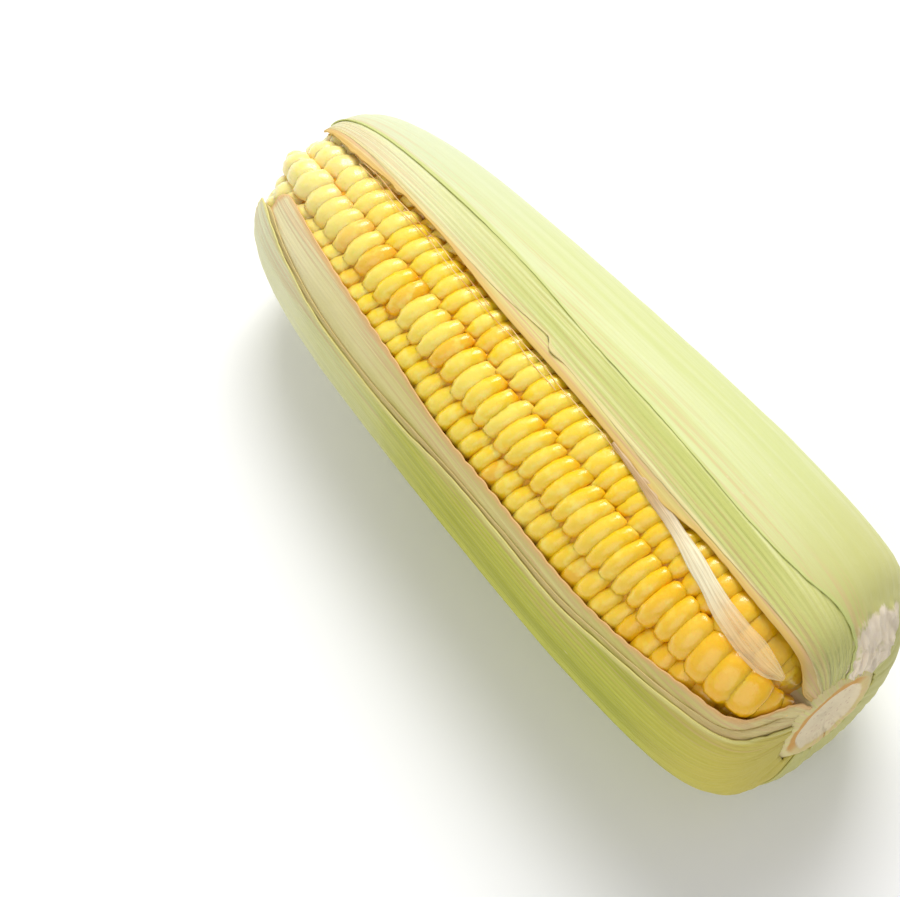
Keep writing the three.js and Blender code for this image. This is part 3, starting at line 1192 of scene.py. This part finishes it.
@dataclass
class Husk:
    """The leaves left on the ear, and the torn strip that lies on the kernels."""

    outline: Outline
    strip_steps: int = 70
    strip_columns: int = 10
    strip_span: Span = (0.022, 0.37)
    strip_above: float = 0.7 * MM
    strip_crown: float = 0.25 * MM
    strip_curl: float = 0.35 * MM
    strip_crinkle: float = 0.15 * MM
    strip_thickness: float = 0.18 * MM

    def build(self) -> list[bpy.types.Object]:
        """Wrap every leaf and lay the torn strip.

        Returns:
            The leaves and the strip.
        """
        made = [leaf.build() for leaf in (*self._right(), *self._left())]
        made.append(self._shred())
        return made

    def _right(self) -> list[Leaf]:
        """Describe the three leaves on the right of the opening.

        Returns:
            The leaves, innermost first.
        """
        inner = Leaf(
            self.outline,
            "husk_right_inner",
            LeafFinish(
                "leaf_peach_edge",
                body=paint(216, 210, 130),
                streak=paint(204, 184, 102),
                margin=paint(212, 172, 82),
                base=paint(210, 192, 108),
                tip=paint(236, 214, 156),
                margin_width=1.7 * MM,
                dry_amount=0.8,
            ),
            low=((0.0, -125.0), (1.0, -125.0)),
            high=(
                (0.0, 11.0), (0.1, 10.0), (0.2, 8.0), (0.27, 10.0), (0.33, 8.0), (0.45, 5.0),
                (0.6, 2.5), (0.75, -3.0), (0.9, -4.5), (1.0, -8.0),
            ),
            opening=Opening.HIGH,
            layer=((-360.0, 2.0), (360.0, 2.0)),
            tip_share=0.992,
            tip_round=3 * MM,
            base_sweep=11.0,
            fringe=((0.0, 1.2), (0.22, 2.0), (0.3, 1.0), (0.72, 1.0), (0.82, 7.0), (0.92, 8.0), (1.0, 2.0)),
            seed=1.3,
        )
        ribbed = Leaf(
            self.outline,
            "husk_right_ribbed",
            LeafFinish(
                "leaf_ribbed",
                body=paint(224, 224, 158),
                streak=paint(190, 194, 104),
                margin=paint(222, 206, 142),
                base=paint(206, 204, 122),
                tip=paint(232, 230, 184),
                margin_width=0.9 * MM,
                rib_amount=0.7,
                vein_depth=0.75,
                cross_veins=0.12,
            ),
            low=((0.0, -175.0), (1.0, -175.0)),
            high=(
                (0.0, 7.0), (0.15, 6.5), (0.3, 5.0), (0.4, 2.4), (0.52, -0.8), (0.67, -2.7),
                (0.8, -5.7), (1.0, -12.0),
            ),
            notch=((0.49, 0.0), (0.515, 1.1), (0.53, -2.0), (0.55, -1.8), (0.6, -0.5), (0.64, 0.0)),
            lip=((0.0, 1.0), (0.48, 1.0), (0.512, -8.0), (0.54, -4.0), (0.58, 1.0), (1.0, 1.0)),
            opening=Opening.HIGH,
            layer=((-155.0, 2.0), (-146.0, 2.0), (-134.0, 1.0), (-120.0, 1.0)),
            tip_share=0.995,
            tip_round=3 * MM,
            base_sweep=4.0,
            seed=2.1,
        )
        outer = Leaf(
            self.outline,
            "husk_right_outer",
            LeafFinish(
                "leaf_smooth",
                body=paint(216, 220, 162),
                streak=paint(206, 212, 140),
                margin=paint(198, 204, 124),
                base=paint(198, 194, 118),
                tip=paint(208, 214, 178),
                base_reach=0.36,
                margin_width=0.8 * MM,
                rib_amount=0.18,
                vein_depth=0.32,
            ),
            low=((0.0, -215.0), (1.0, -215.0)),
            high=(
                (0.0, -17.0), (0.05, -13.5), (0.1, -9.5), (0.2, -8.5), (0.35, -11.6), (0.5, -14.8),
                (0.62, -19.0), (0.75, -21.2), (1.0, -23.5),
            ),
            opening=Opening.HIGH,
            tip_share=0.997,
            tip_round=3 * MM,
            curl=-0.16 * MM,
            seed=3.7,
        )
        return [inner, ribbed, outer]

    def _left(self) -> list[Leaf]:
        """Describe the three leaves on the left of the opening.

        Returns:
            The leaves, innermost first.
        """
        olive = {
            "body": paint(224, 212, 138),
            "streak": paint(200, 190, 100),
            "base": paint(222, 204, 136),
            "tip": paint(250, 238, 190),
        }
        inner = Leaf(
            self.outline,
            "husk_left_inner",
            LeafFinish(
                "leaf_pink_edge", margin=paint(226, 180, 116), margin_width=1.4 * MM, dry_amount=0.6, **olive
            ),
            low=(
                (0.0, 48.0), (0.05, 50.0), (0.1, 51.2), (0.2, 56.0), (0.3, 57.0), (0.43, 55.6),
                (0.55, 54.2), (0.64, 50.4), (0.79, 44.5), (0.9, 39.0), (1.0, 36.0),
            ),
            high=((0.0, 182.0), (1.0, 182.0)),
            opening=Opening.LOW,
            layer=((-360.0, 2.0), (360.0, 2.0)),
            tip_share=0.95,
            tip_round=5 * MM,
            curl=0.1 * MM,
            lip=((0.0, 8.0), (0.04, 6.0), (0.08, 1.5), (0.12, 1.0), (1.0, 1.0)),
            scallop=-0.9,
            base_sweep=22.0,
            seed=4.4,
        )
        middle = Leaf(
            self.outline,
            "husk_left_middle",
            LeafFinish(
                "leaf_olive", margin=paint(206, 184, 120), margin_width=1.2 * MM, rib_amount=0.5, **olive
            ),
            low=(
                (0.0, 54.0), (0.08, 56.5), (0.2, 60.4), (0.3, 63.2), (0.42, 62.6), (0.55, 64.2),
                (0.66, 66.3), (0.78, 65.6), (0.88, 59.8), (0.95, 53.0), (1.0, 50.0),
            ),
            high=((0.0, 128.0), (1.0, 128.0)),
            opening=Opening.LOW,
            layer=((-360.0, 1.0), (360.0, 1.0)),
            tip_share=0.97,
            tip_round=6 * MM,
            base_sweep=14.0,
            seed=5.2,
        )
        outer = Leaf(
            self.outline,
            "husk_left_outer",
            LeafFinish(
                "leaf_green",
                body=paint(196, 196, 66),
                streak=paint(166, 168, 42),
                margin=paint(222, 212, 130),
                base=paint(206, 190, 82),
                tip=paint(240, 238, 200),
                margin_width=1.2 * MM,
                rib_amount=0.5,
                vein_depth=0.55,
            ),
            low=(
                (0.0, 58.5), (0.09, 59.0), (0.2, 62.5), (0.3, 65.5), (0.4, 64.4), (0.52, 65.0),
                (0.62, 68.6), (0.77, 67.7), (0.88, 62.0), (0.95, 55.0), (1.0, 52.0),
            ),
            high=((0.0, 205.0), (1.0, 205.0)),
            opening=Opening.LOW,
            layer=((100.0, 0.0), (122.0, 0.0), (142.5, 1.0), (160.0, 1.0)),
            tip_share=0.98,
            tip_round=7 * MM,
            curl=0.08 * MM,
            base_sweep=8.0,
            seed=6.8,
        )
        return [inner, middle, outer]

    def _shred(self) -> bpy.types.Object:
        """Lay the torn strip of membrane over the kernels near the stem.

        Returns:
            The strip.
        """
        start, end = (self.outline.arc_at_share(share) for share in self.strip_span)
        middle: Stops = (
            (0.0, 22.0), (0.11, 22.5), (0.29, 20.5), (0.45, 16.5),
            (0.58, 13.5), (0.73, 10.8), (1.0, 7.6),
        )
        half: Stops = (
            (0.0, 1.2), (0.06, 4.2), (0.14, 5.4), (0.26, 4.6),
            (0.44, 3.6), (0.55, 3.0), (0.75, 2.4), (1.0, 0.6),
        )
        bm = bmesh.new()
        layers = [bm.verts.layers.float.new(name) for name in ("along", "across", "share")]
        bmesh.ops.create_grid(bm, x_segments=self.strip_steps, y_segments=self.strip_columns, size=0.5)
        for vert in bm.verts:
            u, v = vert.co.x + 0.5, vert.co.y + 0.5
            arc = start + (end - start) * u
            side = 2 * v - 1
            rough = 0.7 * wander(u * 9, side * 0.7, 4.0)
            angle = through(middle, u) + side * (through(half, u) + rough)
            depth = self.outline.ear_depth - self.strip_above
            depth -= self.strip_curl * side * side * wander(u * 6, side, 1.0)
            depth -= self.strip_crown * (1 - side * side) + self.strip_crinkle * wander(u * 30, side * 2, 2.0)
            vert.co = self.outline.point(arc, angle, depth)
            vert[layers[0]] = arc
            vert[layers[1]] = v * 4 * MM
            vert[layers[2]] = self.outline.share(self.outline.at(arc).x)
        piece = finish_mesh(bm, "torn_husk_strip", ShredFinish().build())
        wall = piece.modifiers.new("thickness", "SOLIDIFY")
        wall.thickness = self.strip_thickness
        settle(piece, "husk_shred", "husk_shred")
        return piece


# ---------------------------------------------------------------- the cut stem


@dataclass
class Stem:
    """The cut stem: a shallow dish of pith, its rim, and the wrinkled collar behind it."""

    outline: Outline
    dish: float = 0.7 * MM
    dish_radius: float = 7.4 * MM
    collar_radius: float = 17 * MM
    collar_set_back: float = 4.2 * MM
    wrinkle: float = 0.35 * MM
    face_proud: float = 0.35 * MM
    root_depth: float = 6 * MM
    grain: float = 0.12 * MM
    cuts: int = 4
    sides: int = 96

    def build(self) -> bpy.types.Object:
        """Spin the stem's section and dress it.

        Returns:
            The stem.
        """
        o = self.outline
        face = o.length / 2 + self.face_proud
        inner = face - self.root_depth
        collar = face - self.collar_set_back
        section = [
            (inner, 0.0),
            (inner, self.collar_radius),
            (collar, self.collar_radius),
            (collar + 0.8 * MM, o.stem_radius + 2.5 * MM),
            (face - 1.4 * MM, o.stem_radius),
            (face - 0.7 * MM, o.stem_radius - 1.4 * MM),
            (face, o.stem_radius - 2.5 * MM),
            (face, self.dish_radius + 0.8 * MM),
            (face - self.dish, self.dish_radius - 0.6 * MM),
            (face - 1.3 * self.dish, 0.0),
        ]
        bm = bmesh.new()
        reach_layer = bm.verts.layers.float.new("reach")
        turn_layer = bm.verts.layers.float.new("turn")
        chain = [bm.verts.new((x, 0.0, radius)) for x, radius in section]
        edges = [bm.edges.new(pair) for pair in zip(chain, chain[1:])]
        bmesh.ops.subdivide_edges(bm, edges=edges, cuts=self.cuts)
        spin_closed(bm, self.sides)
        for vert in bm.verts:
            x, y, z = vert.co
            reach, angle = round_axis(y, z)
            rough = self.grain * wander(y * 300, z * 300, 3.0)
            around = math.radians(angle)
            pleats = wander(math.cos(around) * 9, math.sin(around) * 9, reach * 120)
            rough += self.wrinkle * pleats * ease(reach, self.dish_radius, o.stem_radius)
            if x > inner + 1 * MM:
                x += rough
            x -= o.slump(o.length / 2, reach, angle)
            vert[reach_layer] = reach
            vert[turn_layer] = angle
            vert.co = o.lay(x, reach, angle, 0.0)
        piece = finish_mesh(bm, "cut_stem_end", StemFinish().build())
        settle(piece, "stem", "stem")
        return piece


# ---------------------------------------------------------------- the silk


@dataclass
class Silk:
    """One dry silk thread in the furrow beside the right-hand edge."""

    outline: Outline
    node: str
    start: float
    end: float
    offset: float
    wave: float
    radius: float = 0.09 * MM
    sides: int = 6
    steps: int = 40
    furrow: tuple[float, float, float] = (10.5, 4.5, -8.5)
    above: float = 0.55 * MM
    rise: float = 0.3 * MM

    def build(self, finish: bpy.types.Material) -> bpy.types.Object:
        """Run the thread along its furrow.

        Args:
            finish: the silk's material.

        Returns:
            The thread.
        """
        route = [self._spot(i / self.steps) for i in range(self.steps + 1)]
        bm = bmesh.new()
        rings = []
        for i, spot in enumerate(route):
            way = (route[min(i + 1, self.steps)] - route[max(i - 1, 0)]).normalized()
            turn = way.to_track_quat("Z", "Y").to_matrix().to_4x4()
            made = bmesh.ops.create_circle(
                bm,
                cap_ends=i in (0, self.steps),
                segments=self.sides,
                radius=self.radius,
                matrix=Matrix.Translation(spot) @ turn,
            )
            verts = set(made["verts"])
            rings.append([e for e in bm.edges if e.verts[0] in verts and e.verts[1] in verts])
        for a, b in zip(rings, rings[1:]):
            bmesh.ops.bridge_loops(bm, edges=a + b)
        bmesh.ops.recalc_face_normals(bm, faces=bm.faces[:])
        piece = finish_mesh(bm, self.node + "_strand", finish)
        settle(piece, "silk", self.node)
        return piece

    def _spot(self, t: float) -> Vector:
        """Find the thread's middle.

        Args:
            t: the share of its own length.

        Returns:
            The point in the row frame.
        """
        first = self.outline.arc_at_share(self.start)
        arc = first + (self.outline.arc_at_share(self.end) - first) * t
        share = self.outline.share(self.outline.at(arc).x)
        at_stem, midway, at_tip = self.furrow
        edge = at_stem * (1 - share) * (1 - 2 * share) + midway * 4 * share * (1 - share)
        edge += at_tip * share * (2 * share - 1)
        angle = edge + self.offset + self.wave * wander(t * 7, self.offset)
        depth = self.outline.ear_depth - self.above + self.rise * wander(t * 9, self.wave, 6.0)
        return self.outline.point(arc, angle, depth)


# ---------------------------------------------------------------- the studio


@dataclass
class Studio:
    """Floor, light and camera."""

    outline: Outline
    azimuth: float = math.radians(50.0)
    elevation: float = math.radians(62.5)
    distance: float = 0.618
    lens: float = 131.9
    sensor: float = 36.0
    right_of_centre: float = 0.1201
    above_centre: float = 0.0216
    floor_half: float = 3.0
    air_strength: float = 0.42
    aim_height: float = 0.03

    def build(self) -> None:
        """Set the floor, the lights and the camera."""
        self._floor()
        self._light("key", (-0.45, 0.45, 0.8), 0.6, 9.6)
        self._light("fill", (0.4, -0.9, 0.7), 1.0, 4.2)
        world = bpy.data.worlds.new("studio_air")
        world.use_nodes = True
        air = world.node_tree.nodes["Background"]
        air.inputs["Color"].default_value = (1.0, 1.0, 1.0, 1.0)
        air.inputs["Strength"].default_value = self.air_strength
        bpy.context.scene.world = world
        bpy.context.scene.view_settings.view_transform = "Standard"
        self._camera()

    def _floor(self) -> None:
        """Lay the floor under the ear."""
        bm = bmesh.new()
        bmesh.ops.create_grid(bm, x_segments=2, y_segments=2, size=self.floor_half)
        finish_mesh(bm, "studio_floor", FloorFinish().build())

    def _light(self, name: str, place: tuple[float, float, float], size: float, power: float) -> None:
        """Hang a soft light that faces the ear.

        Args:
            name: the light's name.
            place: where it hangs.
            size: the side of its square.
            power: its power in watts.
        """
        data = bpy.data.lights.new(name, "AREA")
        data.size = size
        data.energy = power
        lamp = bpy.data.objects.new(name, data)
        lamp.location = place
        way = Vector((0, 0, self.aim_height)) - Vector(place)
        lamp.rotation_euler = way.to_track_quat("-Z", "Y").to_euler()
        bpy.context.scene.collection.objects.link(lamp)

    def _camera(self) -> None:
        """Stand the camera where the ear fills the frame from the right-hand front."""
        a, e = self.azimuth, self.elevation
        back = Vector((math.sin(a) * math.cos(e), -math.cos(a) * math.cos(e), math.sin(e)))
        right = Vector((math.cos(a), math.sin(a), 0.0))
        up = back.cross(right)
        tip_down = Matrix.Rotation(-self.outline.tilt, 3, "Y")
        back, right, up = tip_down @ back, tip_down @ right, tip_down @ up
        middle = Vector((self.outline.shift, 0.0, self.outline.axis_height))
        reach = self.lens / self.sensor
        view = (back * reach + right * self.right_of_centre + up * self.above_centre).normalized()
        side = up.cross(view).normalized()
        data = bpy.data.cameras.new("camera")
        data.lens = self.lens
        data.sensor_width = self.sensor
        data.clip_start, data.clip_end = 0.05, 20.0
        camera = bpy.data.objects.new("camera", data)
        turn = Matrix((side, view.cross(side), view)).transposed().to_4x4()
        camera.matrix_world = Matrix.Translation(middle + back * self.distance) @ turn
        bpy.context.scene.collection.objects.link(camera)
        bpy.context.scene.camera = camera


# ---------------------------------------------------------------- the whole ear


THREADS = (
    ("silk_thread_1", 0.613, 0.927, 1.8, 1.2),
    ("silk_thread_2", 0.467, 0.893, 4.0, 1.4),
    ("silk_thread_3", 0.293, 0.573, 1.8, 1.0),
)


def main() -> None:
    """Build the ear, its husk and the studio."""
    logging.basicConfig(level=logging.INFO, format="%(message)s")
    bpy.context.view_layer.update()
    outline = Outline()
    Studio(outline).build()
    Ear(outline).build()
    Husk(outline).build()
    Stem(outline).build()
    silk = SilkFinish().build()
    for node, start, end, offset, wave in THREADS:
        Silk(outline, node, start, end, offset, wave).build(silk)


if __name__ == "__main__":
    main()
